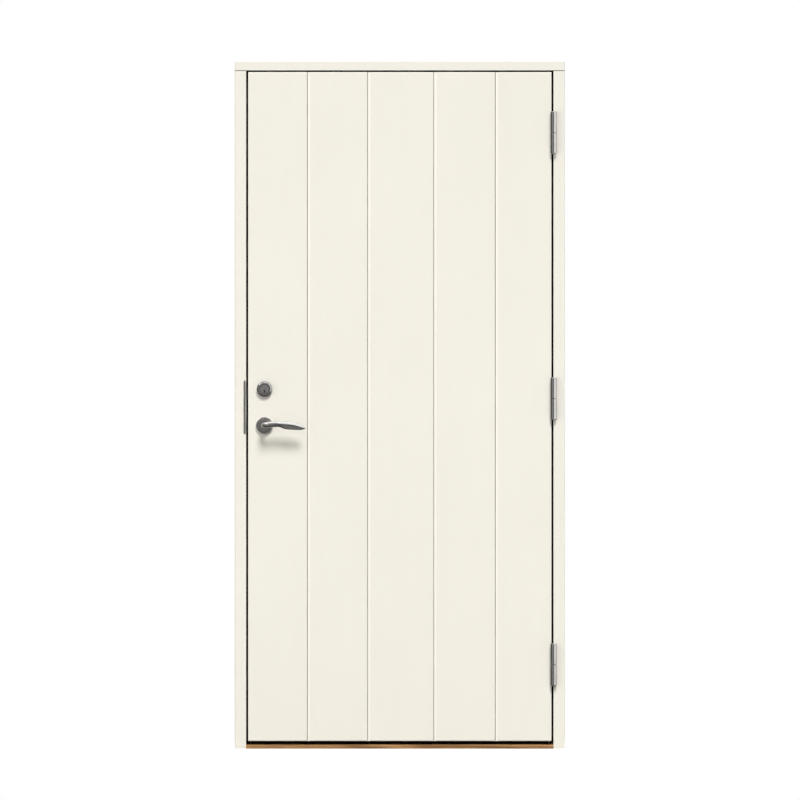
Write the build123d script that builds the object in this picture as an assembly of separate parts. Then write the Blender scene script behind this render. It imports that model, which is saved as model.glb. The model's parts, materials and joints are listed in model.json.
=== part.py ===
from build123d import *

import os

# Exterior door: a grooved leaf, hung on three lift-off hinges in a rebated timber frame.
# Millimetres. The origin is under the middle of the threshold, +X is to the right seen from
# outside, +Y points into the building and +Z is up.

# Timber frame
frame_width = 990.0
frame_height = 2062.0
frame_depth = 105.0
jamb_face = 34.0
head_face = 27.0
stop_step = 15.0
arris = 1.2
outer_arris = 4.0

# Running gaps round the leaf
lock_gap = 6.0
hinge_gap = 6.0
head_gap = 5.0
sill_gap = 11.0
stop_gap = 5.0

# Oak threshold
threshold_nose = 12.0
threshold_rise = 3.0
threshold_height = 38.0
threshold_round = 3.0

# Seal pushed into a groove in the stop, its bulb filling the corner of the rebate
seal_groove_width = 3.4
seal_groove_depth = 6.0
seal_bulb_width = 12.0
seal_bulb_round = 2.2
seal_clearance = 0.4

# Leaf
leaf_thickness = 62.0
lock_bevel = 3.0
leaf_end_round = 3.0
outer_panel_thickness = 9.0
inner_panel_thickness = 6.0
hinge_stile_width = 75.0
lock_stile_width = 115.0
top_rail_width = 80.0
bottom_rail_width = 120.0

# Grooves in the outer panel: board widths counted from the lock edge
board_widths = (177.3, 180.6, 198.4, 184.6)
groove_steep_side = 2.0
groove_shallow_side = 8.0
groove_depth = 3.6
groove_slot_width = 1.6
groove_slot_depth = 6.6

# Lift-off hinges, the middle one halfway between the others
top_hinge_below_leaf_top = 182.0
bottom_hinge_above_leaf_bottom = 229.0
hinge_axis_from_rebate = 0.5
knuckle_diameter = 19.0
knuckle_stand_off = 0.8
upper_knuckle_length = 64.0
lower_knuckle_length = 63.0
knuckle_round = 2.5
knuckle_rim_round = 0.7
knuckle_gap = 1.6
hinge_plate_height = 112.0
hinge_plate_depth = 44.0
hinge_plate_thickness = 2.5
hinge_plate_round = 10.0
pin_diameter = 10.0
pin_collar_diameter = 15.0
pin_seat = 45.0
pin_reach = 42.0
pin_chamfer = 1.25
running_clearance = 0.05
bearing_clearance = 0.15

# Countersunk holes: their places on a hinge plate are (depth from the front, height from the middle)
countersink_diameter = 9.6
screw_hole_diameter = 5.0
hinge_screws = ((13.0, -42.0), (31.0, -21.0), (31.0, 21.0), (13.0, 42.0))
strike_screw_spacing = 132.0
forend_screw_spacing = 212.0

# Lock, lever and cylinder positions
lever_height = 970.0
cylinder_above_lever = 109.0
backset = 49.0

# Mortise lock
case_depth = 78.0
case_thickness = 16.0
case_below_lever = 42.0
case_above_cylinder = 30.0
forend_height = 235.0
forend_width = 24.0
forend_thickness = 3.0
forend_round = 6.0
bolt_thickness = 12.0
bolt_length = 30.0
latch_height = 22.0
latch_above_lever = 32.0
dead_bolt_height = 28.0
dead_bolt_below_cylinder = 33.0
bolt_clearance = 0.4

# Angle strike plate on the lock jamb
strike_length = 160.0
strike_lip = 7.5
strike_lip_proud = 1.5
strike_proud = 1.0
strike_flange = 48.0
strike_thickness = 2.5
strike_round = 4.0
strike_fold_round = 4.0
strike_bolt_room = 3.0
strike_pocket_depth = 18.0

# Lever handle: the arm's stations are (reach, ridge height, above, below, half thickness, ridge slope)
rosette_diameter = 51.0
rosette_height = 9.0
rosette_rim = 5.0
rosette_step = 1.2
rosette_round = 2.5
neck_diameter = 18.4
neck_clearance = 0.15
neck_leaf_clearance = 1.0
lever_projection = 52.0
elbow_radius = 11.5
elbow_steps = (0.0, 0.33, 0.67)
elbow_lift = 2.2
arm_return = 5.0
arm_stations = (
    (27.0, 4.2, 9.0, 10.4, 8.4, 0.3),
    (43.0, 4.8, 8.4, 10.2, 7.8, 0.45),
    (60.0, 4.2, 8.4, 14.8, 7.2, 0.5),
    (84.0, 1.9, 7.9, 15.1, 6.6, 0.55),
    (102.0, -2.4, 6.8, 11.5, 5.6, 0.5),
    (114.0, -6.0, 4.8, 7.2, 4.2, 0.4),
    (122.5, -8.6, 2.4, 2.6, 2.2, 0.2),
)
arm_end_round = 1.2
quarter_pull = 0.5523
grub_hole_diameter = 5.0
grub_hole_depth = 3.5
grub_hole_out = 22.0
spindle_size = 8.0
spindle_socket = 28.0
spindle_hole_diameter = 20.0
follower_hole_diameter = 13.0

# Lock cylinder and its ring
ring_diameter = 46.0
ring_height = 12.0
ring_wall_height = 9.8
ring_lip = 3.4
ring_round = 1.0
cylinder_diameter = 30.0
cylinder_clearance = 0.3
cylinder_recess = 2.5
plug_diameter = 13.0
plug_below_centre = 6.6
plug_length = 24.0
plug_proud = 0.6
keyway_width = 3.0
keyway_height = 8.6
keyway_depth = 20.0

# Thumbturn on the room side
turn_plate_height = 8.0
turn_boss_diameter = 20.0
turn_boss_height = 8.0
turn_wing_length = 34.0
turn_wing_thickness = 9.0
turn_wing_height = 18.0
turn_wing_round = 3.0
turn_shaft_diameter = 8.0

# Frame screws: pairs of holes through each jamb
fixing_diameter = 14.0
fixing_setback = 30.0
fixing_spacing = 500.0
lowest_fixing_height = 120.0
highest_fixing_below_head = 95.0

half_width = frame_width / 2
front = -frame_depth / 2
back = frame_depth / 2
rebate = half_width - jamb_face
stop_inner = rebate - stop_step
stop_face = front + leaf_thickness + stop_gap
jamb_height = frame_height - head_face
threshold_step = threshold_nose + threshold_rise
seal_from_corner = seal_clearance + seal_bulb_width / 2
seal_line = rebate - seal_from_corner
head_seal_level = jamb_height - seal_from_corner
threshold_seal_level = threshold_step + seal_from_corner

leaf_left = -rebate + lock_gap
leaf_right = rebate - hinge_gap
leaf_bottom = threshold_nose + sill_gap
leaf_top = jamb_height - head_gap
leaf_height = leaf_top - leaf_bottom
leaf_middle = front + leaf_thickness / 2
leaf_inside = front + leaf_thickness
stile_front = front + outer_panel_thickness
stile_back = leaf_inside - inner_panel_thickness

highest_fixing_height = jamb_height - highest_fixing_below_head
fixing_heights = (
    lowest_fixing_height,
    lowest_fixing_height + fixing_spacing,
    highest_fixing_height - fixing_spacing,
    highest_fixing_height,
)

hinge_axis_x = rebate + hinge_axis_from_rebate
hinge_axis_y = front - knuckle_stand_off - knuckle_diameter / 2
top_hinge_height = leaf_top - top_hinge_below_leaf_top
bottom_hinge_height = leaf_bottom + bottom_hinge_above_leaf_bottom
hinge_heights = {
    "top": top_hinge_height,
    "middle": (top_hinge_height + bottom_hinge_height) / 2,
    "bottom": bottom_hinge_height,
}

lever_axis_x = leaf_left + backset
cylinder_height = lever_height + cylinder_above_lever
lock_middle = (lever_height + cylinder_height) / 2
latch_level = lever_height + latch_above_lever
dead_bolt_level = cylinder_height - dead_bolt_below_cylinder


def lock_edge(y):
    """X of the bevelled lock edge of the leaf at a depth."""
    return leaf_left + lock_bevel * (y - front) / leaf_thickness


forend_face = lock_edge(leaf_middle + forend_width / 2)


def block(x, y, z):
    """Rectangular solid between a low and a high limit on each axis."""
    corner = Pos((x[0] + x[1]) / 2, (y[0] + y[1]) / 2, (z[0] + z[1]) / 2)
    return corner * Box(x[1] - x[0], y[1] - y[0], z[1] - z[0])


def outline(points, round_points=(), radius=0.0):
    """Flat face through the points, with some of its corners rounded."""
    face = make_face(Polyline(*points, close=True))
    for point in round_points:
        corner = face.vertices().sort_by_distance(point)[0]
        face = fillet(corner, radius)
    return face


def across(x, y, z, diameter, length):
    """Cylinder along Y from a point, towards +Y for a positive length."""
    return Plane((x, y, z), x_dir=(1, 0, 0), z_dir=(0, 1, 0)) * Pos(0, 0, length / 2) * Cylinder(
        diameter / 2, abs(length)
    )


def inside(piece):
    """The same piece on the room side of the leaf."""
    return mirror(piece, about=Plane((0, leaf_middle, 0), x_dir=(1, 0, 0), z_dir=(0, 1, 0)))


def groove_edges(middle):
    return middle - seal_groove_width / 2, middle + seal_groove_width / 2


def jamb_blank():
    groove = groove_edges(seal_line)
    groove_floor = stop_face + seal_groove_depth
    points = [
        (half_width, front),
        (half_width, back),
        (stop_inner, back),
        (stop_inner, stop_face),
        (groove[0], stop_face),
        (groove[0], groove_floor),
        (groove[1], groove_floor),
        (groove[1], stop_face),
        (rebate, stop_face),
        (rebate, front),
    ]
    section = outline(points, points[1:4] + points[9:], arris)
    outer_corner = section.vertices().sort_by_distance(points[0])[0]
    jamb = extrude(fillet(outer_corner, outer_arris), jamb_height)
    for z in fixing_heights:
        hole = Pos(rebate, front + fixing_setback, z) * Rot(0, 90, 0)
        jamb -= hole * Cylinder(fixing_diameter / 2, 2 * (jamb_face + stop_step))
    return jamb


def section_across(points, rounded, radius, half_length):
    """Profile in Y and Z, run the same distance to both sides of the middle."""
    return extrude(Plane.YZ * outline(points, rounded, radius), half_length, both=True)


def frame_head():
    board = block((-half_width, half_width), (front, back), (jamb_height, frame_height))
    board = fillet(board.edges().filter_by(Axis.Z).group_by(Axis.Y)[0], outer_arris)
    board = fillet(board.edges().filter_by(Axis.X).group_by(Axis.Y)[0], arris)
    stop_bottom = jamb_height - stop_step
    groove = groove_edges(head_seal_level)
    groove_floor = stop_face + seal_groove_depth
    stop = [
        (stop_face, jamb_height),
        (stop_face, groove[1]),
        (groove_floor, groove[1]),
        (groove_floor, groove[0]),
        (stop_face, groove[0]),
        (stop_face, stop_bottom),
        (back, stop_bottom),
        (back, jamb_height),
    ]
    return board + section_across(stop, stop[5:7], arris, stop_inner)


def threshold():
    groove = groove_edges(threshold_seal_level)
    groove_floor = stop_face + seal_groove_depth
    nose = [(front, 0), (stop_face, 0), (stop_face, threshold_step), (front, threshold_nose)]
    stop = [
        (stop_face, 0),
        (back, 0),
        (back, threshold_height),
        (stop_face, threshold_height),
        (stop_face, groove[1]),
        (groove_floor, groove[1]),
        (groove_floor, groove[0]),
        (stop_face, groove[0]),
    ]
    return section_across(nose, nose[3:], threshold_round, rebate) + section_across(
        stop, stop[2:4], threshold_round, stop_inner
    )


def seal_section():
    """Seal across its length: stem in the groove towards +Y, bulb towards the leaf."""
    crown = stop_gap - seal_clearance
    half_bulb = seal_bulb_width / 2
    half_stem = seal_groove_width / 2
    points = [
        (-half_bulb, 0),
        (-half_bulb, -crown),
        (half_bulb, -crown),
        (half_bulb, 0),
        (half_stem, 0),
        (half_stem, seal_groove_depth),
        (-half_stem, seal_groove_depth),
        (-half_stem, 0),
    ]
    return outline(points, points[1:3], seal_bulb_round)


def jamb_seal():
    length = jamb_height - threshold_step
    return Pos(seal_line, stop_face, threshold_step) * extrude(seal_section(), length)


def cross_seal(level):
    along = Plane((-stop_inner, stop_face, level), x_dir=(0, 0, 1), z_dir=(1, 0, 0))
    return along * extrude(mirror(seal_section(), about=Plane.XZ), 2 * stop_inner)


def panel(face, back_face):
    """Board over the whole leaf, with the edges of its outer face rounded."""
    points = [
        (lock_edge(face), face),
        (leaf_right, face),
        (leaf_right, back_face),
        (lock_edge(back_face), back_face),
    ]
    board = Pos(0, 0, leaf_bottom) * extrude(outline(points), leaf_height)
    outward = board.faces().sort_by_distance((0, face, leaf_height / 2))[0]
    board = fillet(outward.edges().filter_by(Axis.X), leaf_end_round)
    outward = board.faces().sort_by_distance((0, face, leaf_height / 2))[0]
    return fillet(outward.edges().filter_by(Axis.Z), arris)


def grooved_panel():
    board = panel(front, stile_front)
    x = leaf_left
    for width in board_widths:
        x += width
        slot_right = x + groove_slot_width
        points = [
            (x - 2 * groove_steep_side, front - groove_depth),
            (x, front + groove_depth),
            (x, front + groove_slot_depth),
            (slot_right, front + groove_slot_depth),
            (slot_right, front + groove_depth),
            (slot_right + 2 * groove_shallow_side, front - groove_depth),
        ]
        board -= Pos(0, 0, leaf_bottom) * extrude(outline(points), leaf_height)
    return board


def stile(left_front, left_back, right):
    points = [(left_front, stile_front), (right, stile_front), (right, stile_back), (left_back, stile_back)]
    return Pos(0, 0, leaf_bottom) * extrude(outline(points), leaf_height)


def countersink(face, y, z, thickness, inward):
    """Conical hole along X through a plate, widest at the plate's open face."""
    cone = Cone(screw_hole_diameter / 2, countersink_diameter / 2, thickness)
    plane = Plane((face + inward * thickness / 2, y, z), x_dir=(0, 1, 0), z_dir=(-inward, 0, 0))
    return plane * cone


def hinge_screw_holes(face, level, inward):
    holes = [
        countersink(face, front + depth, level + height, hinge_plate_thickness, inward)
        for depth, height in hinge_screws
    ]
    return Part() + holes


def hinge_plate(x, level):
    """Flat plate from the outside face inwards, its far corners rounded."""
    low = level - hinge_plate_height / 2
    high = level + hinge_plate_height / 2
    far = front + hinge_plate_depth
    points = [(front, low), (far, low), (far, high), (front, high)]
    face = Plane.YZ.offset(x) * outline(points, points[1:3], hinge_plate_round)
    return extrude(face, hinge_plate_thickness)


def on_hinge_axis(low, high, diameter):
    return Pos(hinge_axis_x, hinge_axis_y, (low + high) / 2) * Cylinder(diameter / 2, high - low)


def knuckle(low, high, rounded_end):
    barrel = on_hinge_axis(low, high, knuckle_diameter)
    rims = barrel.edges().filter_by(GeomType.CIRCLE).sort_by(Axis.Z)
    bearing_end = -1 - rounded_end
    barrel = fillet(rims[rounded_end], knuckle_round)
    rims = barrel.edges().filter_by(GeomType.CIRCLE).sort_by(Axis.Z)
    return fillet(rims[bearing_end], knuckle_rim_round)


leaf_plate_x = leaf_right - hinge_plate_thickness


def hinge_leaf_half(level):
    low = level + knuckle_gap / 2
    high = level + upper_knuckle_length
    plate_x = (leaf_plate_x, leaf_right)
    neck = block(plate_x, (hinge_axis_y, front), (low, level + hinge_plate_height / 2))
    bore = on_hinge_axis(low, level + pin_reach + bearing_clearance, pin_diameter + 2 * running_clearance)
    half = hinge_plate(leaf_plate_x, level) + neck + knuckle(low, high, -1) - bore
    return half - hinge_screw_holes(leaf_right, level, -1)


def hinge_jamb_half(level):
    low = level - lower_knuckle_length
    high = level - knuckle_gap / 2
    plate_x = (rebate, rebate + hinge_plate_thickness)
    neck = block(plate_x, (hinge_axis_y, front), (level - hinge_plate_height / 2, high))
    bore = on_hinge_axis(level - pin_seat, high, pin_diameter)
    half = hinge_plate(rebate, level) + neck + knuckle(low, high, 0) - bore
    return half - hinge_screw_holes(rebate, level, 1)


def hinge_pin(level):
    shaft = on_hinge_axis(level - pin_seat, level + pin_reach, pin_diameter)
    top = shaft.edges().filter_by(GeomType.CIRCLE).sort_by(Axis.Z)[-1]
    collar = on_hinge_axis(
        level - knuckle_gap / 2, level + knuckle_gap / 2 - bearing_clearance, pin_collar_diameter
    )
    return chamfer(top, pin_chamfer) + collar


def strike_blank():
    face = -rebate + strike_proud
    inner = face - strike_thickness
    lip_front = front - strike_lip_proud
    lip_back = lip_front + strike_thickness
    lip_end = -rebate - strike_lip
    points = [
        (face, lip_front),
        (face, front + strike_flange),
        (inner, front + strike_flange),
        (inner, lip_back),
        (lip_end, lip_back),
        (lip_end, lip_front),
    ]
    low = lock_middle - strike_length / 2
    angle = Pos(0, 0, low) * extrude(outline(points, points[:1], strike_fold_round), strike_length)
    lip_corners = angle.edges().filter_by(Axis.Y).group_by(Axis.X)[0]
    return fillet(lip_corners, strike_round)


def bolt(level, height, grow=0.0):
    """Bolt drawn in flush with the forend, or the room that one needs."""
    return block(
        (forend_face, forend_face + bolt_length + grow),
        (leaf_middle - bolt_thickness / 2 - grow, leaf_middle + bolt_thickness / 2 + grow),
        (level - height / 2 - grow, level + height / 2 + grow),
    )


def strike_window(level, height, x):
    half_depth = bolt_thickness / 2 + strike_bolt_room
    half_height = height / 2 + strike_bolt_room
    return block(
        x,
        (leaf_middle - half_depth, leaf_middle + half_depth),
        (level - half_height, level + half_height),
    )


def bolt_levels():
    return ((latch_level, latch_height), (dead_bolt_level, dead_bolt_height))


def strike_plate():
    plate = strike_blank()
    for level, height in bolt_levels():
        plate -= strike_window(level, height, (-half_width, -rebate + strike_thickness))
    face = -rebate + strike_proud
    for offset in (-strike_screw_spacing / 2, strike_screw_spacing / 2):
        plate -= countersink(face, leaf_middle, lock_middle + offset, strike_thickness, -1)
    return plate


def lock_jamb():
    jamb = mirror(jamb_blank(), about=Plane.YZ) - strike_blank()
    floor = -rebate + strike_proud - strike_thickness
    for level, height in bolt_levels():
        jamb -= strike_window(level, height, (floor - strike_pocket_depth, floor))
    return jamb


def hinge_jamb():
    jamb = jamb_blank()
    for level in hinge_heights.values():
        jamb -= hinge_plate(rebate, level)
    return jamb


def forend_blank():
    low = lock_middle - forend_height / 2
    high = lock_middle + forend_height / 2
    near = leaf_middle - forend_width / 2
    far = leaf_middle + forend_width / 2
    points = [(near, low), (far, low), (far, high), (near, high)]
    return extrude(Plane.YZ.offset(forend_face) * outline(points, points, forend_round), forend_thickness)


def lock_case_blank():
    near = forend_face + forend_thickness
    return block(
        (near, near + case_depth),
        (leaf_middle - case_thickness / 2, leaf_middle + case_thickness / 2),
        (lever_height - case_below_lever, cylinder_height + case_above_cylinder),
    )


def lock_case():
    case = lock_case_blank()
    case -= across(lever_axis_x, front, lever_height, follower_hole_diameter, leaf_thickness)
    for level, height in bolt_levels():
        case -= bolt(level, height, bolt_clearance)
    return case


def lock_forend():
    plate = forend_blank()
    for level, height in bolt_levels():
        plate -= bolt(level, height, bolt_clearance)
    for offset in (-forend_screw_spacing / 2, forend_screw_spacing / 2):
        plate -= countersink(forend_face, leaf_middle, lock_middle + offset, forend_thickness, 1)
    return plate


def bored_for_lock(timber):
    """Timber with the holes that the spindle, the cylinder and the thumbturn shaft need."""
    timber -= across(lever_axis_x, front, lever_height, spindle_hole_diameter, leaf_thickness)
    hole = cylinder_diameter + 2 * cylinder_clearance
    timber -= across(lever_axis_x, front, cylinder_height, hole, leaf_thickness / 2)
    shaft_hole = turn_shaft_diameter + 2 * cylinder_clearance
    return timber - across(lever_axis_x, leaf_middle, cylinder_height, shaft_hole, leaf_thickness / 2)


def lock_stile():
    timber = stile(lock_edge(stile_front), lock_edge(stile_back), leaf_left + lock_stile_width)
    recess = forend_blank() + block(
        (leaf_left, forend_face),
        (leaf_middle - forend_width / 2, leaf_middle + forend_width / 2),
        (lock_middle - forend_height / 2, lock_middle + forend_height / 2),
    )
    return bored_for_lock(timber - lock_case_blank() - recess)


def mortised_for_hinges(timber):
    for level in hinge_heights.values():
        timber -= hinge_plate(leaf_plate_x, level)
    return timber


def between_stiles(z):
    x = (leaf_left + lock_stile_width, leaf_right - hinge_stile_width)
    return block(x, (stile_front, stile_back), z)


def turned(points, round_points, radius, z):
    """Profile of radius and distance out of the leaf, spun about an axis along Y."""
    plane = Plane((lever_axis_x, front, z), x_dir=(1, 0, 0), z_dir=(0, 0, 1))
    face = outline([(r, -out) for r, out in points], [(r, -out) for r, out in round_points], radius)
    return revolve(plane * face, Axis((lever_axis_x, front, z), (0, 1, 0)))


def rosette():
    outer = rosette_diameter / 2
    bore = neck_diameter / 2 + neck_clearance
    low = rosette_height - rosette_step
    points = [
        (bore, 0),
        (outer, 0),
        (outer, rosette_height),
        (outer - rosette_rim, rosette_height),
        (outer - rosette_rim - rosette_step, low),
        (bore, low),
    ]
    return turned(points, points[2:3], rosette_round, lever_height)


def round_section(plane, radius):
    """Circle in four arcs, one for each curve of an arm section."""
    arcs = [CenterArc((0, 0), radius, 180 - 90 * quarter, -90) for quarter in range(4)]
    return plane * make_face(arcs)


def arm_section(plane, above, below, half_thickness, slope):
    """Section of four curves, with a ridge at the front that the slope leans away from."""
    pull = quarter_pull
    t = half_thickness
    quarters = [
        Bezier((-t, 0), (-t + slope * pull * above, pull * above), (-pull * t, above), (0, above)),
        Bezier((0, above), (pull * t, above), (t, pull * above), (t, 0)),
        Bezier((t, 0), (t, -pull * below), (pull * t, -below), (0, -below)),
        Bezier((0, -below), (-pull * t, -below), (-t + slope * pull * below, -pull * below), (-t, 0)),
    ]
    return plane * make_face(quarters)


def lever():
    out = front - lever_projection
    turn_start = out + elbow_radius
    sections = []
    for step in elbow_steps:
        turn = 90 * step
        centre = Vector(elbow_radius, 0, 0) + Vector(-elbow_radius, 0, 0).rotate(Axis.Z, turn)
        place = (
            lever_axis_x + centre.X,
            turn_start + centre.Y,
            lever_height + elbow_lift * step**2,
        )
        heading = Vector(0, -1, 0).rotate(Axis.Z, turn)
        plane = Plane(place, x_dir=Vector(0, 0, 1).cross(heading), z_dir=heading)
        sections.append(round_section(plane, neck_diameter / 2))
    arm_length = arm_stations[-1][0]
    for reach, ridge, above, below, half_thickness, slope in arm_stations:
        bow = arm_return * (reach / arm_length) ** 2
        place = (lever_axis_x + reach, out + bow, lever_height + ridge)
        plane = Plane(place, x_dir=(0, 1, 0), z_dir=(1, 0, 0))
        sections.append(arm_section(plane, above, below, half_thickness, slope))
    arm = loft(sections)
    arm = fillet(arm.faces().sort_by(Axis.X)[-1].edges(), arm_end_round)
    root = front - neck_leaf_clearance
    neck = across(lever_axis_x, root, lever_height, neck_diameter, turn_start - root)
    socket = block(
        (lever_axis_x - spindle_size / 2, lever_axis_x + spindle_size / 2),
        (front - spindle_socket, root),
        (lever_height - spindle_size / 2, lever_height + spindle_size / 2),
    )
    underside = Pos(lever_axis_x, front - grub_hole_out, lever_height - neck_diameter / 2)
    grub_hole = underside * Cylinder(grub_hole_diameter / 2, 2 * grub_hole_depth)
    return neck + arm - socket - grub_hole


def lever_spindle():
    return block(
        (lever_axis_x - spindle_size / 2, lever_axis_x + spindle_size / 2),
        (front - spindle_socket, leaf_inside + spindle_socket),
        (lever_height - spindle_size / 2, lever_height + spindle_size / 2),
    )


def cylinder_ring():
    outer = ring_diameter / 2
    bore = cylinder_diameter / 2 + cylinder_clearance
    points = [
        (bore, 0),
        (outer, 0),
        (outer, ring_wall_height),
        (bore + ring_lip, ring_height),
        (bore, ring_height),
    ]
    return turned(points, points[2:4], ring_round, cylinder_height)


def cylinder_face():
    return front - ring_height + cylinder_recess


def plug_axis():
    return cylinder_height - plug_below_centre


def lock_cylinder():
    face = cylinder_face()
    length = leaf_middle - case_thickness / 2 - face
    body = across(lever_axis_x, face, cylinder_height, cylinder_diameter, length)
    bore = plug_diameter + 2 * running_clearance
    return body - across(lever_axis_x, face, plug_axis(), bore, plug_length + bearing_clearance)


def key_plug():
    face = cylinder_face() - plug_proud
    plug = across(lever_axis_x, face, plug_axis(), plug_diameter, plug_length + plug_proud)
    keyway = block(
        (lever_axis_x - keyway_width / 2, lever_axis_x + keyway_width / 2),
        (face, face + keyway_depth),
        (plug_axis() - keyway_height / 2, plug_axis() + keyway_height / 2),
    )
    return plug - keyway


def thumbturn_rosette():
    outer = ring_diameter / 2
    bore = turn_shaft_diameter / 2 + cylinder_clearance
    points = [(bore, 0), (outer, 0), (outer, turn_plate_height), (bore, turn_plate_height)]
    return inside(turned(points, points[2:3], rosette_round, cylinder_height))


def thumbturn():
    seat = leaf_inside + turn_plate_height
    shaft_root = leaf_middle + case_thickness / 2
    shaft = across(lever_axis_x, shaft_root, cylinder_height, turn_shaft_diameter, seat - shaft_root)
    boss = across(lever_axis_x, seat, cylinder_height, turn_boss_diameter, turn_boss_height)
    wing_base = seat + turn_boss_height
    wing = block(
        (lever_axis_x - turn_wing_thickness / 2, lever_axis_x + turn_wing_thickness / 2),
        (wing_base, wing_base + turn_wing_height),
        (cylinder_height - turn_wing_length / 2, cylinder_height + turn_wing_length / 2),
    )
    wing = fillet(wing.edges().filter_by(Axis.X), turn_wing_round)
    return shaft + boss + wing


outside_lever = lever()
outside_rosette = rosette()
right_seal = jamb_seal()

nodes = {
    "lock_jamb": lock_jamb(),
    "hinge_jamb": hinge_jamb(),
    "frame_head": frame_head(),
    "threshold": threshold(),
    "lock_side_seal": mirror(right_seal, about=Plane.YZ),
    "hinge_side_seal": right_seal,
    "head_seal": cross_seal(head_seal_level),
    "threshold_seal": cross_seal(threshold_seal_level),
    "strike_plate": strike_plate(),
    "outer_panel": bored_for_lock(mortised_for_hinges(grooved_panel())),
    "inner_panel": bored_for_lock(panel(leaf_inside, stile_back)),
    "lock_stile": lock_stile(),
    "hinge_stile": mortised_for_hinges(
        stile(leaf_right - hinge_stile_width, leaf_right - hinge_stile_width, leaf_right)
    ),
    "top_rail": between_stiles((leaf_top - top_rail_width, leaf_top)),
    "bottom_rail": between_stiles((leaf_bottom, leaf_bottom + bottom_rail_width)),
    "insulation_core": between_stiles((leaf_bottom + bottom_rail_width, leaf_top - top_rail_width)),
    "lock_case": lock_case(),
    "lock_forend": lock_forend(),
    "latch_bolt": bolt(latch_level, latch_height),
    "dead_bolt": bolt(dead_bolt_level, dead_bolt_height),
    "cylinder_ring": cylinder_ring(),
    "lock_cylinder": lock_cylinder(),
    "key_plug": key_plug(),
    "outside_rosette": outside_rosette,
    "inside_rosette": inside(outside_rosette),
    "outside_lever": outside_lever,
    "inside_lever": inside(outside_lever),
    "lever_spindle": lever_spindle(),
    "thumbturn_rosette": thumbturn_rosette(),
    "thumbturn": thumbturn(),
}
for place, level in hinge_heights.items():
    nodes[f"{place}_hinge_leaf_half"] = hinge_leaf_half(level)
    nodes[f"{place}_hinge_jamb_half"] = hinge_jamb_half(level)
    nodes[f"{place}_hinge_pin"] = hinge_pin(level)

os.makedirs("parts", exist_ok=True)
for name, solid in nodes.items():
    export_step(solid, f"parts/{name}.step")
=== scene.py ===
import json
import math

import bpy
from mathutils import Matrix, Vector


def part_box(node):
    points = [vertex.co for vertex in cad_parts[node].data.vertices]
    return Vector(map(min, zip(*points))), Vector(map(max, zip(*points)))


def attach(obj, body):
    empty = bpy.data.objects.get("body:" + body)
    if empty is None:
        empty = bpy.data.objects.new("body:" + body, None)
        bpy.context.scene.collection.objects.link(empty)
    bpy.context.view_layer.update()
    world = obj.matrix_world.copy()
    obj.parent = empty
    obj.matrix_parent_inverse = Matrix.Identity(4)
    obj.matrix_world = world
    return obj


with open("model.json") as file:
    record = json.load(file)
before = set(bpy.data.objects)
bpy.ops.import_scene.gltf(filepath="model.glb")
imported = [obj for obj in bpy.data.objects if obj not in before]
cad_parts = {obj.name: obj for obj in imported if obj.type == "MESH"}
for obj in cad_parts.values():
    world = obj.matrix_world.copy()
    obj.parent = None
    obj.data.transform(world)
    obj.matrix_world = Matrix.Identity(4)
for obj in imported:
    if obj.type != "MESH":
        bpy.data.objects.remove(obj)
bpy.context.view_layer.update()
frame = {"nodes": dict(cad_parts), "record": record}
nodes = frame["nodes"]
print("frame loaded:", len(nodes), "nodes")


# camera, straight on from far away as in a catalogue picture

cameraSet = {
    "place": (0.0006, -60.0525, 1.04625),
    "lens": 900.0,
    "sensor": 36.0,
    "clipEnd": 200.0,
}


def makeCamera(values):
    bpy.ops.object.camera_add(location=values["place"], rotation=(math.radians(90), 0, 0))
    camera = bpy.context.object
    camera.name = "frontCamera"
    camera.data.lens = values["lens"]
    camera.data.sensor_width = values["sensor"]
    camera.data.clip_end = values["clipEnd"]
    bpy.context.scene.camera = camera


makeCamera(cameraSet)
bpy.context.scene.view_settings.view_transform = "Standard"
print("camera set")


# small helpers for node trees

def feed(tree, socket, value):      # a link from another node, or a plain value
    if isinstance(value, bpy.types.NodeSocket):
        tree.links.new(value, socket)
    else:
        socket.default_value = value


def addNode(tree, kind, **inputs):
    node = tree.nodes.new(kind)
    for label, value in inputs.items():
        feed(tree, node.inputs[label], value)
    return node


def combined(tree, operation, first, second=0.0):
    node = tree.nodes.new("ShaderNodeMath")
    node.operation = operation
    feed(tree, node.inputs[0], first)
    feed(tree, node.inputs[1], second)
    return node.outputs[0]


def blended(tree, first, second, share):    # the share is the second one's
    return combined(tree, "ADD", combined(tree, "MULTIPLY", first, 1 - share),
                    combined(tree, "MULTIPLY", second, share))


def remapped(tree, value, low, high, fromLow=0.0, fromHigh=1.0):
    node = addNode(tree, "ShaderNodeMapRange", Value=value)
    limits = {"From Min": fromLow, "From Max": fromHigh, "To Min": low, "To Max": high}
    for label, limit in limits.items():
        node.inputs[label].default_value = limit
    return node.outputs["Result"]


def fadeIn(tree, value, start, full):       # 0 at the start, 1 where it is full
    return remapped(tree, value, 0.0, 1.0, start, full)


def mixedColour(tree, factor, first, second):
    node = addNode(tree, "ShaderNodeMix", Factor=factor)
    node.data_type = "RGBA"
    feed(tree, node.inputs[6], first)       # the colour sockets A and B
    feed(tree, node.inputs[7], second)
    return node.outputs[2]


def ownPlace(tree):
    return tree.nodes.new("ShaderNodeTexCoord").outputs["Object"]


def axesOf(tree, vector):
    return addNode(tree, "ShaderNodeSeparateXYZ", Vector=vector).outputs


def timesVector(tree, vector, scale):
    node = tree.nodes.new("ShaderNodeVectorMath")
    node.operation = "MULTIPLY"
    feed(tree, node.inputs[0], vector)
    feed(tree, node.inputs[1], scale)
    return node.outputs[0]


def noiseOn(tree, vector, scale, detail=2.0, roughness=0.5, distortion=0.0):
    return addNode(tree, "ShaderNodeTexNoise", Vector=vector, Scale=scale, Detail=detail,
                   Roughness=roughness, Distortion=distortion).outputs["Fac"]


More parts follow.
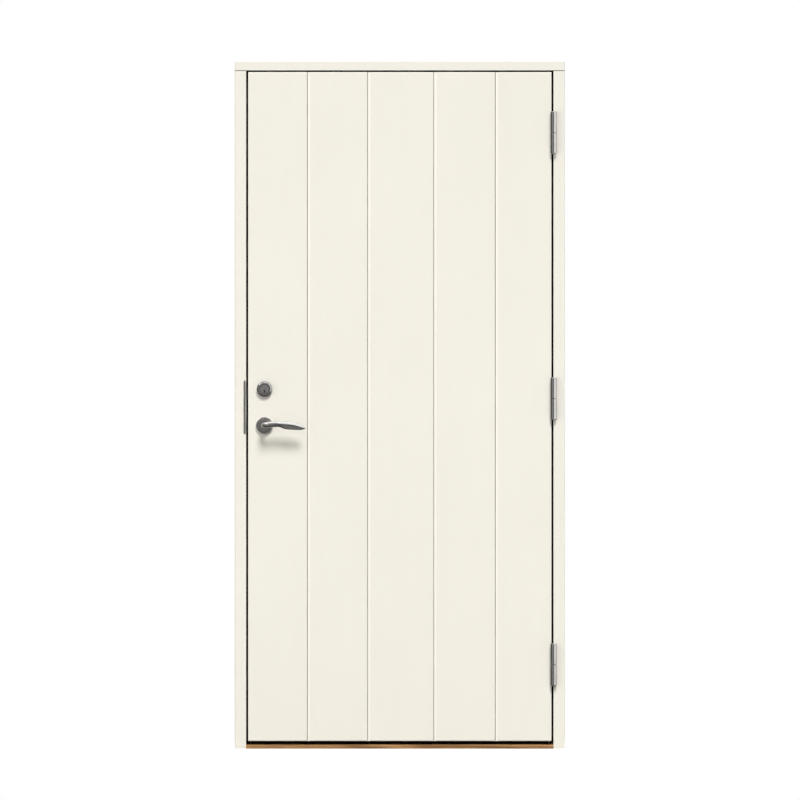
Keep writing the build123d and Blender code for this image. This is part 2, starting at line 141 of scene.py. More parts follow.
def bumped(tree, shader, height, strength, distance):
    bump = addNode(tree, "ShaderNodeBump", Height=height, Strength=strength, Distance=distance)
    tree.links.new(bump.outputs["Normal"], shader.inputs["Normal"])


def seenDirectly(tree):     # by the camera, in metal or through glass
    path = tree.nodes.new("ShaderNodeLightPath").outputs
    seen = combined(tree, "MAXIMUM", path["Is Camera Ray"], path["Is Glossy Ray"])
    return combined(tree, "MAXIMUM", seen, path["Is Transmission Ray"])


def startMaterial(name):
    material = bpy.data.materials.new(name)
    material.use_nodes = True
    tree = material.node_tree
    return material, tree, tree.nodes["Principled BSDF"]


def newGroup(name, inputs, outputs):
    group = bpy.data.node_groups.new(name, "ShaderNodeTree")
    for label, kind, value in inputs:
        socket = group.interface.new_socket(label, in_out="INPUT", socket_type=kind)
        if value is not None:
            socket.default_value = value
    for label, kind in outputs:
        group.interface.new_socket(label, in_out="OUTPUT", socket_type=kind)
    start = group.nodes.new("NodeGroupInput")
    end = group.nodes.new("NodeGroupOutput")
    return group, start.outputs, end.inputs


def useGroup(tree, group, **values):
    node = tree.nodes.new("ShaderNodeGroup")
    node.node_tree = group
    for label, value in values.items():
        feed(tree, node.inputs[label], value)
    return node.outputs


# light: a soft key from above, a wide fill from the left, one for the inside, white all round

lightSet = {
    "key": {"strength": 2.58, "elevation": 49.0, "azimuth": 12.0, "angle": 19.0},
    "fill": {"strength": 0.965, "elevation": 8.0, "azimuth": -45.0, "angle": 90.0},
    "back": {"strength": 2.1, "elevation": 24.0, "azimuth": 168.0, "angle": 50.0},
    "ambient": 0.255,
    "white": 1.0,
}


def addSun(name, values):
    tilt = math.radians(90 - values["elevation"])
    turn = math.radians(values["azimuth"])      # to the right of straight in front
    bpy.ops.object.light_add(type="SUN", rotation=(tilt, 0, turn))
    sun = bpy.context.object
    sun.name = name
    sun.data.energy = values["strength"]
    sun.data.angle = math.radians(values["angle"])
    sun.visible_glossy = False                  # the metal shows the studio instead


def makeWorld(values):
    world = bpy.data.worlds.new("studioWhite")
    bpy.context.scene.world = world
    world.use_nodes = True
    tree = world.node_tree
    background = tree.nodes["Background"]
    background.inputs["Color"].default_value = (1, 1, 1, 1)
    strength = remapped(tree, seenDirectly(tree), values["ambient"], values["white"])
    tree.links.new(strength, background.inputs["Strength"])


makeWorld(lightSet)
addSun("keySun", lightSet["key"])
addSun("fillSun", lightSet["fill"])
addSun("backSun", lightSet["back"])
print("lights set")


# surface effects that several materials share

filmSet = {"cloudScale": 2.3, "streakShare": 0.35, "contrast": (0.3, 0.7), "roughness": (0.36, 0.46),
           "peelHeight": 0.6}
brushSet = {"smudgeScale": 38.0, "smudgeBend": 0.4, "smudgeShare": 0.6, "contrast": (0.35, 0.65)}
surfaceOutputs = [("Colour", "NodeSocketColor"), ("Roughness", "NodeSocketFloat"),
                  ("Height", "NodeSocketFloat")]


def makePaintFilm(values):
    group, start, end = newGroup("paintFilm", [
        ("Vector", "NodeSocketVector", None), ("Streak", "NodeSocketVector", (60.0, 60.0, 3.0)),
        ("Light", "NodeSocketColor", (1, 1, 1, 1)), ("Dark", "NodeSocketColor", (0.9, 0.9, 0.9, 1)),
        ("Peel", "NodeSocketFloat", 330.0), ("Streakiness", "NodeSocketFloat", 0.4)], surfaceOutputs)
    vector = start["Vector"]
    streaks = noiseOn(group, timesVector(group, vector, start["Streak"]), 1.0, 3.0, 0.55)
    peel = noiseOn(group, vector, start["Peel"], 1.5)
    clouds = noiseOn(group, vector, values["cloudScale"], 3.0, 0.6)
    shade = blended(group, clouds, streaks, values["streakShare"])
    colour = mixedColour(group, fadeIn(group, shade, *values["contrast"]), start["Dark"], start["Light"])
    height = combined(group, "ADD", combined(group, "MULTIPLY", peel, values["peelHeight"]),
                      combined(group, "MULTIPLY", streaks, start["Streakiness"]))
    group.links.new(colour, end["Colour"])
    group.links.new(remapped(group, shade, *values["roughness"], *values["contrast"]), end["Roughness"])
    group.links.new(height, end["Height"])
    return group


def makeBrushedMetal(values):
    group, start, end = newGroup("brushedMetal", [
        ("Vector", "NodeSocketVector", None), ("Stroke", "NodeSocketVector", (900.0, 900.0, 40.0)),
        ("Light", "NodeSocketColor", (0.6, 0.6, 0.6, 1)), ("Dark", "NodeSocketColor", (0.4, 0.4, 0.4, 1)),
        ("Smooth", "NodeSocketFloat", 0.24), ("Rough", "NodeSocketFloat", 0.36)], surfaceOutputs)
    vector = start["Vector"]
    strokes = noiseOn(group, timesVector(group, vector, start["Stroke"]), 1.0, 3.0, 0.6)
    smudges = noiseOn(group, vector, values["smudgeScale"], 4.0, 0.55, values["smudgeBend"])
    colour = mixedColour(group, fadeIn(group, strokes, *values["contrast"]), start["Dark"], start["Light"])
    blend = fadeIn(group, blended(group, strokes, smudges, values["smudgeShare"]), *values["contrast"])
    span = combined(group, "SUBTRACT", start["Rough"], start["Smooth"])
    roughness = combined(group, "ADD", combined(group, "MULTIPLY", blend, span), start["Smooth"])
    group.links.new(colour, end["Colour"])
    group.links.new(roughness, end["Roughness"])
    group.links.new(strokes, end["Height"])
    return group


paintFilm = makePaintFilm(filmSet)
brushedMetal = makeBrushedMetal(brushSet)
print("surface groups made")


# painted timber

paintSet = {
    "light": (0.905, 0.872, 0.777, 1),
    "dark": (0.882, 0.848, 0.752, 1),
    "bump": 0.12,
    "bumpDepth": 0.0004,
    "leaf": {"streak": (40.0, 40.0, 3.0), "peel": 420.0, "streakiness": 0.25},
    "jamb": {"streak": (160.0, 160.0, 4.0), "peel": 300.0, "streakiness": 0.7},
    "head": {"streak": (4.0, 160.0, 160.0), "peel": 300.0, "streakiness": 0.7},
}
# painted highlight on the groove slopes and painted shade deep in each groove's slot
grooveLightSet = {
    "slopeHighlight": (0.0002, 0.0009), "slopeHighlightTone": (0.995, 0.96, 0.86, 1),   # depth below the face, for the painted highlight and the painted shade
    "slotShade": (0.0032, 0.0044), "slotShadeTone": (0.27, 0.256, 0.225, 1),
    "sideMargin": 0.03,
    "endMargin": 0.002,
}
seamShadeSet = {"start": 0.0022, "full": 0.0013, "tone": (0.12, 0.114, 0.1, 1)}   # painted shade line below the jamb's top end, at its joint with the head


def between(tree, value, first, last):
    return combined(tree, "MULTIPLY", combined(tree, "GREATER_THAN", value, first),
                    combined(tree, "LESS_THAN", value, last))


# lighter on the groove slopes, a painted highlight, and darker deep in the slots, painted shade
def paintGrooveShadeAndHighlight(tree, place, colour, values):
    low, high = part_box("outer_panel")
    side, end = values["sideMargin"], values["endMargin"]
    axes = axesOf(tree, place)
    inside = combined(tree, "MULTIPLY", between(tree, axes["X"], low.x + side, high.x - side),
                      between(tree, axes["Z"], low.z + end, high.z - end))
    for part in ("slopeHighlight", "slotShade"):
        start, full = values[part]
        depth = fadeIn(tree, axes["Y"], low.y + start, low.y + full)
        colour = mixedColour(tree, combined(tree, "MULTIPLY", depth, inside), colour, values[part + "Tone"])
    return colour


# painted shade along the joint between jamb and head
def shadeSeam(tree, place, colour, values):
    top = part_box("lock_jamb")[1].z
    edge = fadeIn(tree, axesOf(tree, place)["Z"], top - values["start"], top - values["full"])
    return mixedColour(tree, edge, colour, values["tone"])


def makePaint(name, coat, shade=None, shadeValues=None):
    material, tree, shader = startMaterial(name)
    place = ownPlace(tree)
    film = useGroup(tree, paintFilm, Vector=place, Streak=coat["streak"], Peel=coat["peel"],
                    Light=paintSet["light"], Dark=paintSet["dark"], Streakiness=coat["streakiness"])
    colour = film["Colour"]
    if shade:
        colour = shade(tree, place, colour, shadeValues)
    tree.links.new(colour, shader.inputs["Base Color"])
    tree.links.new(film["Roughness"], shader.inputs["Roughness"])
    bumped(tree, shader, film["Height"], paintSet["bump"], paintSet["bumpDepth"])
    return material


boardPaint = makePaint("boardPaint", paintSet["leaf"], paintGrooveShadeAndHighlight, grooveLightSet)
leafPaint = makePaint("leafPaint", paintSet["leaf"])
jambPaint = makePaint("jambPaint", paintSet["jamb"], shadeSeam, seamShadeSet)
headPaint = makePaint("headPaint", paintSet["head"])


# oiled oak, its grain along the threshold

oakSet = {
    "pale": (0.455, 0.24, 0.09, 1),
    "deep": (0.22, 0.105, 0.03, 1),
    "pore": (0.09, 0.045, 0.018, 1),
    "figureGrain": (2.2, 26.0, 26.0),
    "figureScale": 0.55,
    "figureBend": 9.0,
    "streakGrain": (17.0, 150.0, 150.0),
    "streakBend": 0.9,
    "streakShare": 0.5,
    "contrast": (0.25, 0.75),
    "poreGrain": (28.0, 900.0, 900.0),
    "poreRange": (0.58, 0.72),
    "poreStrength": 0.75,
    "roughness": (0.42, 0.6),
    "streakHeight": 0.4,
    "bump": 0.35,
    "bumpDepth": 0.0006,
}


def stretched(tree, vector, scale):
    return addNode(tree, "ShaderNodeMapping", Vector=vector, Scale=scale).outputs["Vector"]


def makeOak(values):
    material, tree, shader = startMaterial("oiledOak")
    place = ownPlace(tree)
    figure = addNode(tree, "ShaderNodeTexWave", Vector=stretched(tree, place, values["figureGrain"]),
                     Scale=values["figureScale"], Distortion=values["figureBend"], Detail=3.0)
    figure.inputs["Detail Scale"].default_value = 1.3
    figure.bands_direction = "DIAGONAL"
    pores = noiseOn(tree, stretched(tree, place, values["poreGrain"]), 1.0, 3.0, 0.6)
    streaks = noiseOn(tree, stretched(tree, place, values["streakGrain"]), 1.0, 4.0, 0.6,
                      values["streakBend"])
    mix = blended(tree, figure.outputs["Fac"], streaks, values["streakShare"])
    wood = mixedColour(tree, fadeIn(tree, mix, *values["contrast"]), values["pale"], values["deep"])
    poreMask = remapped(tree, pores, 0.0, values["poreStrength"], *values["poreRange"])
    tree.links.new(mixedColour(tree, poreMask, wood, values["pore"]), shader.inputs["Base Color"])
    tree.links.new(remapped(tree, mix, *values["roughness"]), shader.inputs["Roughness"])
    raised = combined(tree, "MULTIPLY", streaks, values["streakHeight"])
    bumped(tree, shader, combined(tree, "SUBTRACT", raised, poreMask), values["bump"], values["bumpDepth"])
    return material


oiledOak = makeOak(oakSet)


# rubber of the seals, foam of the core, plastic of the caps

rubberSet = {
    "clean": (0.003, 0.003, 0.0032, 1), "dusty": (0.008, 0.008, 0.008, 1), "dustScale": 90.0,
    "dust": (0.45, 0.8), "roughness": (0.7, 0.86), "shine": 0.06,
    "skinScale": 700.0, "bump": 0.15, "bumpDepth": 0.0003,
}
foamSet = {
    "light": (0.78, 0.66, 0.36, 1), "dark": (0.62, 0.5, 0.24, 1), "cellScale": 420.0,
    "roughness": (0.75, 0.95), "bump": 0.4, "bumpDepth": 0.0006,
}
plasticSet = {
    "dark": (0.86, 0.85, 0.82, 1), "light": (0.9, 0.89, 0.87, 1), "mottleScale": 160.0,
    "roughness": (0.34, 0.46), "skinScale": 1500.0, "bump": 0.06, "bumpDepth": 0.0001,
}


def makeRubber(values):
    material, tree, shader = startMaterial("blackRubber")
    place = ownPlace(tree)
    dust = noiseOn(tree, place, values["dustScale"], 5.0, 0.6)
    skin = noiseOn(tree, place, values["skinScale"])
    colour = mixedColour(tree, fadeIn(tree, dust, *values["dust"]), values["clean"], values["dusty"])
    tree.links.new(colour, shader.inputs["Base Color"])
    tree.links.new(remapped(tree, dust, *values["roughness"]), shader.inputs["Roughness"])
    shader.inputs["Specular IOR Level"].default_value = values["shine"]
    bumped(tree, shader, skin, values["bump"], values["bumpDepth"])
    return material


def makeFoam(values):
    material, tree, shader = startMaterial("rigidFoam")
    cells = addNode(tree, "ShaderNodeTexVoronoi", Vector=ownPlace(tree), Scale=values["cellScale"])
    cellDepth = cells.outputs["Distance"]
    colour = mixedColour(tree, cellDepth, values["light"], values["dark"])
    tree.links.new(colour, shader.inputs["Base Color"])
    tree.links.new(remapped(tree, cellDepth, *values["roughness"]), shader.inputs["Roughness"])
    bumped(tree, shader, cellDepth, values["bump"], values["bumpDepth"])
    return material


def makeCapPlastic(values):
    material, tree, shader = startMaterial("capPlastic")
    place = ownPlace(tree)
    mottle = noiseOn(tree, place, values["mottleScale"], 3.0, 0.55)
    skin = noiseOn(tree, place, values["skinScale"], 1.0)
    colour = mixedColour(tree, mottle, values["dark"], values["light"])
    tree.links.new(colour, shader.inputs["Base Color"])
    tree.links.new(remapped(tree, mottle, *values["roughness"]), shader.inputs["Roughness"])
    bumped(tree, shader, skin, values["bump"], values["bumpDepth"])
    return material


blackRubber = makeRubber(rubberSet)
rigidFoam = makeFoam(foamSet)
capPlastic = makeCapPlastic(plasticSet)


# satin metals

metalSet = {
    "hinge": {"light": (0.55, 0.54, 0.53, 1), "dark": (0.46, 0.45, 0.44, 1),
              "smooth": 0.15, "rough": 0.23, "stroke": (1100.0, 1100.0, 60.0)},
    "pin": {"light": (0.22, 0.215, 0.21, 1), "dark": (0.14, 0.137, 0.13, 1),
            "smooth": 0.16, "rough": 0.26, "stroke": (1400.0, 1400.0, 300.0)},
    "lock": {"light": (0.54, 0.53, 0.51, 1), "dark": (0.43, 0.42, 0.40, 1),
             "smooth": 0.26, "rough": 0.38, "stroke": (1200.0, 1200.0, 50.0)},
    "lever": {"light": (0.62, 0.61, 0.59, 1), "dark": (0.54, 0.53, 0.51, 1),
              "smooth": 0.18, "rough": 0.27, "stroke": (90.0, 1300.0, 1300.0)},
    "cylinder": {"light": (0.64, 0.63, 0.61, 1), "dark": (0.55, 0.54, 0.52, 1),
                 "smooth": 0.2, "rough": 0.27, "stroke": (700.0, 700.0, 700.0)},
    "ring": {"light": (0.64, 0.63, 0.61, 1), "dark": (0.57, 0.56, 0.54, 1),
             "smooth": 0.17, "rough": 0.23, "stroke": (700.0, 700.0, 700.0)},
    "core": {"light": (0.72, 0.71, 0.69, 1), "dark": (0.6, 0.59, 0.57, 1),
             "smooth": 0.22, "rough": 0.3, "stroke": (500.0, 500.0, 500.0)},
    "plug": {"light": (0.72, 0.71, 0.69, 1), "dark": (0.6, 0.59, 0.57, 1),
             "smooth": 0.2, "rough": 0.28, "stroke": (500.0, 500.0, 500.0)},
    "screw": {"light": (0.62, 0.61, 0.59, 1), "dark": (0.5, 0.49, 0.47, 1),
              "smooth": 0.24, "rough": 0.36, "stroke": (900.0, 900.0, 900.0)},
    "bump": 0.05,
    "bumpDepth": 0.0001,
}
# painted shade on the flanks of the hinge barrels
flankShadeSet = {"left": (-0.0042, -0.0056), "right": (0.0078, 0.0088), "tone": (0.16, 0.157, 0.15, 1)}
# painted shade under the lever's neck
neckShadeSet = {"below": (0.0036, 0.006), "along": (0.026, 0.018), "tone": (0.24, 0.235, 0.225, 1)}
# painted shade at the ring's outer edge and round the core's edge in its recess
rimShadeSet = {
    "ring": {"node": "cylinder_ring", "radius": (0.0197, 0.021), "tone": (0.2, 0.195, 0.185, 1)},
    "core": {"node": "lock_cylinder", "radius": (0.0125, 0.0145), "tone": (0.3, 0.29, 0.28, 1)},
}
# painted shade inside the keyway
keywayShadeSet = {"start": 0.0004, "full": 0.0018, "tone": (0.012, 0.011, 0.01, 1)}


def shadeFlank(tree, place, colour, values):  # painted shade, darker where a hinge barrel turns away
    swing = next(joint for joint in frame["record"]["behaviour"]["joints"] if joint["name"] == "leaf_swing")
    axes = axesOf(tree, place)
    across = combined(tree, "SUBTRACT", axes["X"], swing["pos_m"][0])
    side = combined(tree, "MAXIMUM", fadeIn(tree, across, *values["left"]),
                    fadeIn(tree, across, *values["right"]))
    ahead = combined(tree, "LESS_THAN", axes["Y"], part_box("outer_panel")[0].y)
    return mixedColour(tree, combined(tree, "MULTIPLY", side, ahead), colour, values["tone"])


def fromMiddle(tree, place, node):            # across and up from the middle of a round piece
    low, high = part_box(node)
    axes = axesOf(tree, place)
    return (combined(tree, "SUBTRACT", axes["X"], (low.x + high.x) / 2),
            combined(tree, "SUBTRACT", axes["Z"], (low.z + high.z) / 2))


def shadeNeck(tree, place, colour, values):   # painted shade, darker under a lever's neck
    along, up = fromMiddle(tree, place, "outside_rosette")
    below = combined(tree, "MULTIPLY", up, -1.0)
    under = combined(tree, "MULTIPLY", fadeIn(tree, below, *values["below"]),
                     fadeIn(tree, along, *values["along"]))
    return mixedColour(tree, under, colour, values["tone"])


def shadeRim(tree, place, colour, values):    # painted shade, darker towards the edge of a round piece
    across, up = fromMiddle(tree, place, values["node"])
    squares = combined(tree, "ADD", combined(tree, "MULTIPLY", across, across),
                       combined(tree, "MULTIPLY", up, up))
    edge = fadeIn(tree, combined(tree, "SQRT", squares), *values["radius"])
    return mixedColour(tree, edge, colour, values["tone"])


def shadeSlot(tree, place, colour, values):   # painted shade in the keyway, darker below the plug's front face
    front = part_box("key_plug")[0].y
    depth = fadeIn(tree, axesOf(tree, place)["Y"], front + values["start"], front + values["full"])
    return mixedColour(tree, depth, colour, values["tone"])


def makeMetal(name, values, shade=None, shadeValues=None):
    material, tree, shader = startMaterial(name)
    place = ownPlace(tree)
    brushed = useGroup(tree, brushedMetal, Vector=place, Stroke=values["stroke"], Light=values["light"],
                       Dark=values["dark"], Smooth=values["smooth"], Rough=values["rough"])
    colour = brushed["Colour"]
    if shade:
        colour = shade(tree, place, colour, shadeValues)
    tree.links.new(colour, shader.inputs["Base Color"])
    tree.links.new(brushed["Roughness"], shader.inputs["Roughness"])
    shader.inputs["Metallic"].default_value = 1.0
    bumped(tree, shader, brushed["Height"], metalSet["bump"], metalSet["bumpDepth"])
    return material


hingeSteel = makeMetal("hingeSteel", metalSet["hinge"], shadeFlank, flankShadeSet)
pinSteel = makeMetal("pinSteel", metalSet["pin"])
lockSteel = makeMetal("lockSteel", metalSet["lock"])
leverSteel = makeMetal("leverSteel", metalSet["lever"], shadeNeck, neckShadeSet)
roseSteel = makeMetal("roseSteel", metalSet["lever"])
cylinderSteel = makeMetal("cylinderSteel", metalSet["cylinder"])
ringSteel = makeMetal("ringSteel", metalSet["ring"], shadeRim, rimShadeSet["ring"])
coreSteel = makeMetal("coreSteel", metalSet["core"], shadeRim, rimShadeSet["core"])
plugSteel = makeMetal("plugSteel", metalSet["plug"], shadeSlot, keywayShadeSet)
screwSteel = makeMetal("screwSteel", metalSet["screw"])
print("materials made")


# each CAD node takes a finish

hingeLevels = ("top", "middle", "bottom")
finishes = {
    "lock_jamb": jambPaint, "hinge_jamb": jambPaint, "frame_head": headPaint, "threshold": oiledOak,
    "lock_side_seal": blackRubber, "hinge_side_seal": blackRubber, "head_seal": blackRubber,
    "threshold_seal": blackRubber, "strike_plate": lockSteel,
    "outer_panel": boardPaint, "inner_panel": leafPaint, "lock_stile": leafPaint, "hinge_stile": leafPaint,
    "top_rail": leafPaint, "bottom_rail": leafPaint, "insulation_core": rigidFoam,
    "lock_case": lockSteel, "lock_forend": lockSteel, "latch_bolt": lockSteel, "dead_bolt": lockSteel,
    "cylinder_ring": ringSteel, "lock_cylinder": coreSteel, "key_plug": plugSteel,
    "outside_rosette": roseSteel, "inside_rosette": roseSteel, "outside_lever": leverSteel,
    "inside_lever": leverSteel, "lever_spindle": pinSteel, "thumbturn_rosette": cylinderSteel,
    "thumbturn": cylinderSteel,
}
for level in hingeLevels:
    finishes[level + "_hinge_leaf_half"] = hingeSteel
    finishes[level + "_hinge_jamb_half"] = hingeSteel
    finishes[level + "_hinge_pin"] = pinSteel

for node, material in finishes.items():
    slots = nodes[node].data.materials
    slots.clear()
    slots.append(material)
print("finishes given:", len(finishes), "of", len(nodes))


# screws and cover caps, each modelled once and copied to its places

screwSet = {
    "countersunk": {"radius": 0.00468, "tipRadius": 0.0024, "depth": 0.0023, "corners": 24, "step": 4,
                    "socketRadius": 0.0022, "pull": 0.74, "socketDepth": 0.0013, "rim": 0.00012},
    "grub": {"radius": 0.0023, "tipRadius": 0.0023, "depth": 0.0024, "corners": 12, "step": 2,
             "socketRadius": 0.00125, "pull": 0.866, "socketDepth": 0.0012, "rim": 0.0003},
    "sunk": 0.00008,
    "hingePlaces": [(0.013, -0.042), (0.031, -0.021), (0.031, 0.021), (0.013, 0.042)],   # depth, height
    "hingePlateHalf": 0.056,
    "hingeTwist": 0.7,       # from one screw to the next
    "jambTwist": 0.4,
    "strikeSpacing": 0.132,
    "forendSpacing": 0.212,
    "forendTwist": 2.2,
    "grubOut": 0.022,
    "grubFace": 0.0085,      # below the lever's axis
    "grubTwist": 0.3,
}
capSet = {"radius": 0.0095, "proud": 0.0005, "stemRadius": 0.0066, "stem": 0.006, "rim": 0.00035,
          "corners": 40}
roundSet = {"socketTaper": 0.85, "stemTaper": 0.94, "rimSteps": 3, "smoothAngle": 35.0}


def selectOnly(thing):
    bpy.ops.object.select_all(action="DESELECT")
    thing.select_set(True)
    bpy.context.view_layer.objects.active = thing


def pickFaces(thing, test):
    bpy.ops.mesh.select_mode(type="FACE")
    bpy.ops.mesh.select_all(action="DESELECT")
    bpy.ops.object.mode_set(mode="OBJECT")
    for face in thing.data.polygons:
        face.select = test(face)
    bpy.ops.object.mode_set(mode="EDIT")


def pickCorners(thing, test):
    bpy.ops.mesh.select_mode(type="VERT")
    bpy.ops.mesh.select_all(action="DESELECT")
    bpy.ops.object.mode_set(mode="OBJECT")
    for corner in thing.data.vertices:
        corner.select = test(corner.co)
    bpy.ops.object.mode_set(mode="EDIT")


def facesUp(face):
    return face.normal.z > 0.5


def facesDown(face):
    return face.normal.z < -0.5


def startRound(corners, radius, depth):
    bpy.ops.object.select_all(action="DESELECT")
    bpy.ops.mesh.primitive_cylinder_add(vertices=corners, radius=radius, depth=depth,
                                        location=(0, 0, -depth / 2))
    bpy.ops.object.transform_apply(location=True, rotation=True, scale=True)
    selectOnly(bpy.context.object)
    bpy.ops.object.mode_set(mode="EDIT")
    return bpy.context.object


def shrinkTo(ratio, z):
    bpy.ops.transform.resize(value=(ratio, ratio, 1), center_override=(0, 0, z))


def pushDown(depth):
    bpy.ops.mesh.extrude_region_move(TRANSFORM_OT_translate={"value": (0, 0, -depth)})


def finishRound(thing, radius, rim):
    pickCorners(thing, lambda co: abs(co.xy.length - radius) < 1e-5 and abs(co.z) < 1e-6)
    bpy.ops.mesh.bevel(offset=rim, segments=roundSet["rimSteps"])
    bpy.ops.mesh.select_all(action="SELECT")
    bpy.ops.mesh.normals_make_consistent(inside=False)
    bpy.ops.object.mode_set(mode="OBJECT")
    bpy.ops.object.shade_smooth_by_angle(angle=math.radians(roundSet["smoothAngle"]))


def makeScrew(values):
    radius, socket = values["radius"], values["socketRadius"]
    screw = startRound(values["corners"], radius, values["depth"])
    pickFaces(screw, facesDown)
    shrinkTo(values["tipRadius"] / radius, -values["depth"])
    pickFaces(screw, facesUp)
    bpy.ops.mesh.inset(thickness=radius - socket)

    def isPulled(co):   # half of the corners in each step move in, which leaves the lobes or flats
        turn = round(math.atan2(co.y, co.x) / math.tau * values["corners"])
        inSocket = co.z > -1e-6 and co.xy.length < socket * 1.1
        return inSocket and turn % values["step"] >= values["step"] / 2

    pickCorners(screw, isPulled)
    shrinkTo(values["pull"], 0)
    pickFaces(screw, lambda face: facesUp(face) and face.center.xy.length < 1e-5)
    pushDown(values["socketDepth"])
    shrinkTo(roundSet["socketTaper"], -values["socketDepth"])
    finishRound(screw, radius, values["rim"])
    return screw


def makeCap(values):
    cap = startRound(values["corners"], values["radius"], values["proud"])
    pickFaces(cap, facesDown)
    bpy.ops.mesh.inset(thickness=values["radius"] - values["stemRadius"])
    pushDown(values["stem"])
    shrinkTo(roundSet["stemTaper"], -values["proud"] - values["stem"])
    finishRound(cap, values["radius"], values["rim"])
    return cap


def putCopy(model, name, place, side, twist, body, material):
    copy = model.copy()
    copy.data = model.data.copy()
    copy.name = name
    bpy.context.collection.objects.link(copy)
    copy.matrix_world = Matrix.Translation(place) @ side @ Matrix.Rotation(twist, 4, "Z")
    selectOnly(copy)
    bpy.ops.object.transform_apply(location=True, rotation=True, scale=True)
    copy.data.materials.append(material)
    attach(copy, body)


toRight = Matrix.Rotation(math.radians(90), 4, "Y")
toLeft = Matrix.Rotation(math.radians(-90), 4, "Y")
downwards = Matrix.Rotation(math.radians(180), 4, "X")


def putHingeScrews(model, values):
    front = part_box("outer_panel")[0].y
    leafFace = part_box("hinge_stile")[1].x - values["sunk"]
    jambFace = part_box("threshold")[1].x + values["sunk"]
    for level in hingeLevels:
        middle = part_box(level + "_hinge_leaf_half")[0].z + values["hingePlateHalf"]
        for number, (depth, height) in enumerate(values["hingePlaces"]):
            label = level + "_hinge_screw_" + str(number + 1)
            twist = values["hingeTwist"] * number + middle
            putCopy(model, label + "_leaf", (leafFace, front + depth, middle + height), toRight, twist,
                    "leaf", screwSteel)
            putCopy(model, label + "_jamb", (jambFace, front + depth, middle + height), toLeft,
                    twist + values["jambTwist"], "frame", screwSteel)


def putLockScrews(model, values):
    low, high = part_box("lock_forend")
    depth, middle = (low.y + high.y) / 2, (low.z + high.z) / 2
    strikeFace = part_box("strike_plate")[1].x - values["sunk"]
    forendFace = low.x + values["sunk"]
    for label, end in (("lower", -0.5), ("upper", 0.5)):
        strikeLevel = middle + end * values["strikeSpacing"]
        forendLevel = middle + end * values["forendSpacing"]
        putCopy(model, "strike_screw_" + label, (strikeFace, depth, strikeLevel), toRight, end,
                "frame", screwSteel)
        putCopy(model, "forend_screw_" + label, (forendFace, depth, forendLevel), toLeft,
                end * values["forendTwist"], "leaf", screwSteel)


def putGrubScrews(model, values):
    low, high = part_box("outside_rosette")
    axisX, axisZ = (low.x + high.x) / 2, (low.z + high.z) / 2
    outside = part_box("outer_panel")[0].y - values["grubOut"]
    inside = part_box("inner_panel")[1].y + values["grubOut"]
    for label, y in (("outside", outside), ("inside", inside)):
        putCopy(model, label + "_grub_screw", (axisX, y, axisZ - values["grubFace"]), downwards,
                values["grubTwist"], "lever", screwSteel)


def putCaps(model, values):
    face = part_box("threshold")[1].x
    for mount in frame["record"]["mounts"]:
        if mount["kind"] != "bolt_pattern":
            continue
        x, y, z = mount["pos_m"]
        half = mount["dims"]["spacing_y_mm"] / 2 / 1000     # to metres
        side = toLeft if x > 0 else toRight
        capFace = math.copysign(face - values["proud"], x)
        for label, level in (("low", z - half), ("high", z + half)):
            putCopy(model, mount["name"].replace("screws", label) + "_cap", (capFace, y, level), side, 0,
                    "frame", capPlastic)


countersunkScrew = makeScrew(screwSet["countersunk"])
putHingeScrews(countersunkScrew, screwSet)
putLockScrews(countersunkScrew, screwSet)
grubScrew = makeScrew(screwSet["grub"])
putGrubScrews(grubScrew, screwSet)
coverCap = makeCap(capSet)
putCaps(coverCap, capSet)
for model in (countersunkScrew, grubScrew, coverCap):
    bpy.data.objects.remove(model)
print("screws and caps made")


# floor, and the grey studio walls that only the metal shows

floorSet = {"width": 4.0, "ahead": 2.2, "behind": 1.2, "drop": 0.0004, "grey": (0.385, 0.385, 0.385, 1),
            "glow": 0.9, "grainScale": 60.0, "roughness": (0.85, 0.95)}
studioSet = {
    "sides": 64,
    "radius": 4.0,
    "height": 5.45,
    "wallLevel": 0.2,
    "ceilingLevel": 1.8,
    "groundHeight": 0.0005,
    "nearGround": {"reach": 1.0, "level": 0.09},
    "farGround": {"reach": 1.5, "level": 0.25},
    "cardDistance": 3.4,
    "cards": [   # azimuth to the right of straight in front
        {"azimuth": 43.0, "width": 2.3, "level": 1.45, "foot": 0.0},
        {"azimuth": 89.0, "width": 3.0, "level": 1.3, "foot": 0.0},
        {"azimuth": 137.0, "width": 2.3, "level": 1.45, "foot": 0.0},
        {"azimuth": -28.0, "width": 1.4, "level": 0.62, "foot": 0.0},
        {"azimuth": -152.0, "width": 1.4, "level": 0.62, "foot": 0.0},
        {"azimuth": -66.0, "width": 4.0, "level": 2.2, "foot": 2.9},
    ],
}


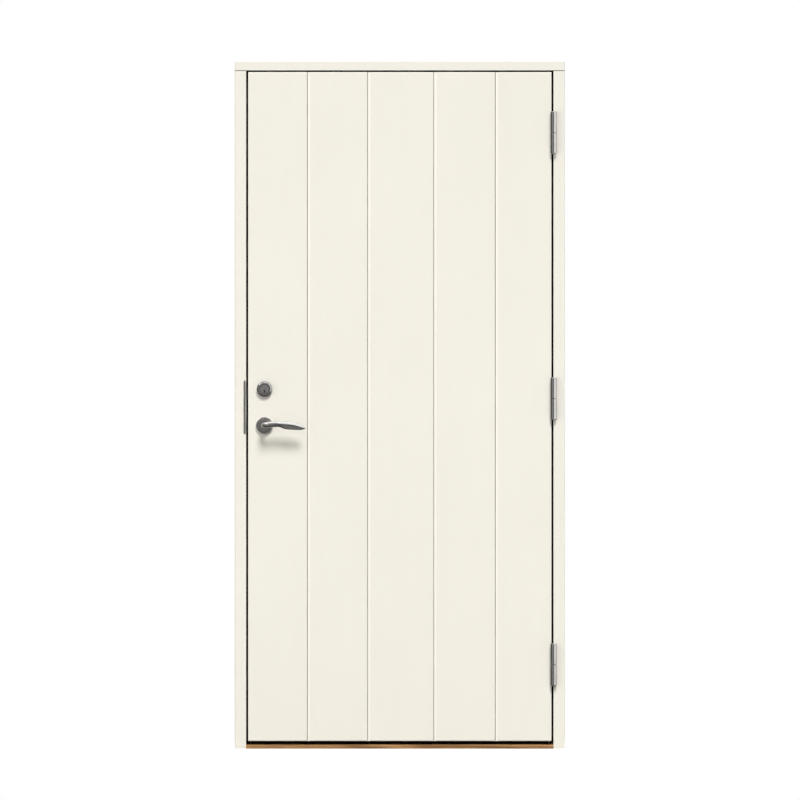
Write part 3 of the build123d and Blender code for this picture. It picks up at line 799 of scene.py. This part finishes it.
def makeFloor(values):
    bpy.ops.object.select_all(action="DESELECT")
    bpy.ops.mesh.primitive_plane_add(size=1)
    floor = bpy.context.object
    floor.name = "paleFloor"
    floor.scale = (values["width"], values["ahead"] + values["behind"], 1)
    floor.location = (0, (values["behind"] - values["ahead"]) / 2, -values["drop"])
    bpy.ops.object.transform_apply(location=True, rotation=True, scale=True)
    material, tree, shader = startMaterial("paleFloor")
    grain = noiseOn(tree, ownPlace(tree), values["grainScale"], 3.0)
    tree.links.new(remapped(tree, grain, *values["roughness"]), shader.inputs["Roughness"])
    shader.inputs["Base Color"].default_value = values["grey"]
    shader.inputs["Specular IOR Level"].default_value = 0.0
    shader.inputs["Emission Color"].default_value = (1, 1, 1, 1)
    glow = combined(tree, "MULTIPLY", seenDirectly(tree), values["glow"])
    tree.links.new(glow, shader.inputs["Emission Strength"])
    floor.data.materials.append(material)


def forMetalOnly(thing, name, level):
    thing.name = name
    material, tree, shader = startMaterial(name)
    shader.inputs["Base Color"].default_value = (0, 0, 0, 1)
    shader.inputs["Specular IOR Level"].default_value = 0.0
    shader.inputs["Emission Color"].default_value = (1, 1, 1, 1)
    shader.inputs["Emission Strength"].default_value = level
    thing.data.materials.append(material)
    thing.visible_camera = False
    thing.visible_diffuse = False
    thing.visible_shadow = False
    thing.visible_transmission = False
    return tree, shader


def addDisc(values, z):
    bpy.ops.mesh.primitive_circle_add(vertices=values["sides"], radius=values["radius"],
                                      fill_type="NGON", location=(0, 0, z))
    return bpy.context.object


def makeWalls(values):
    height = values["height"]
    bpy.ops.object.select_all(action="DESELECT")
    bpy.ops.mesh.primitive_cylinder_add(vertices=values["sides"], radius=values["radius"], depth=height,
                                        end_fill_type="NOTHING", location=(0, 0, height / 2))
    forMetalOnly(bpy.context.object, "greyWall", values["wallLevel"])
    forMetalOnly(addDisc(values, height), "lightCeiling", values["ceilingLevel"])


def makeGround(values):     # darker close to the door
    near, far = values["nearGround"], values["farGround"]
    tree, shader = forMetalOnly(addDisc(values, values["groundHeight"]), "darkGround", far["level"])
    away = combined(tree, "ABSOLUTE", axesOf(tree, ownPlace(tree))["Y"])
    level = remapped(tree, away, near["level"], far["level"], near["reach"], far["reach"])
    tree.links.new(level, shader.inputs["Emission Strength"])


def makeCards(values):
    distance, height = values["cardDistance"], values["height"]
    for number, card in enumerate(values["cards"]):
        turn, foot = math.radians(card["azimuth"]), card["foot"]
        place = (math.sin(turn) * distance, -math.cos(turn) * distance, (foot + height) / 2)
        bpy.ops.mesh.primitive_plane_add(size=1, location=place, rotation=(math.radians(90), 0, turn))
        panel = bpy.context.object
        panel.scale = (card["width"], height - foot, 1)
        forMetalOnly(panel, "lightCard" + str(number + 1), card["level"])


makeFloor(floorSet)
makeWalls(studioSet)
makeGround(studioSet)
makeCards(studioSet)
print("floor and studio made")
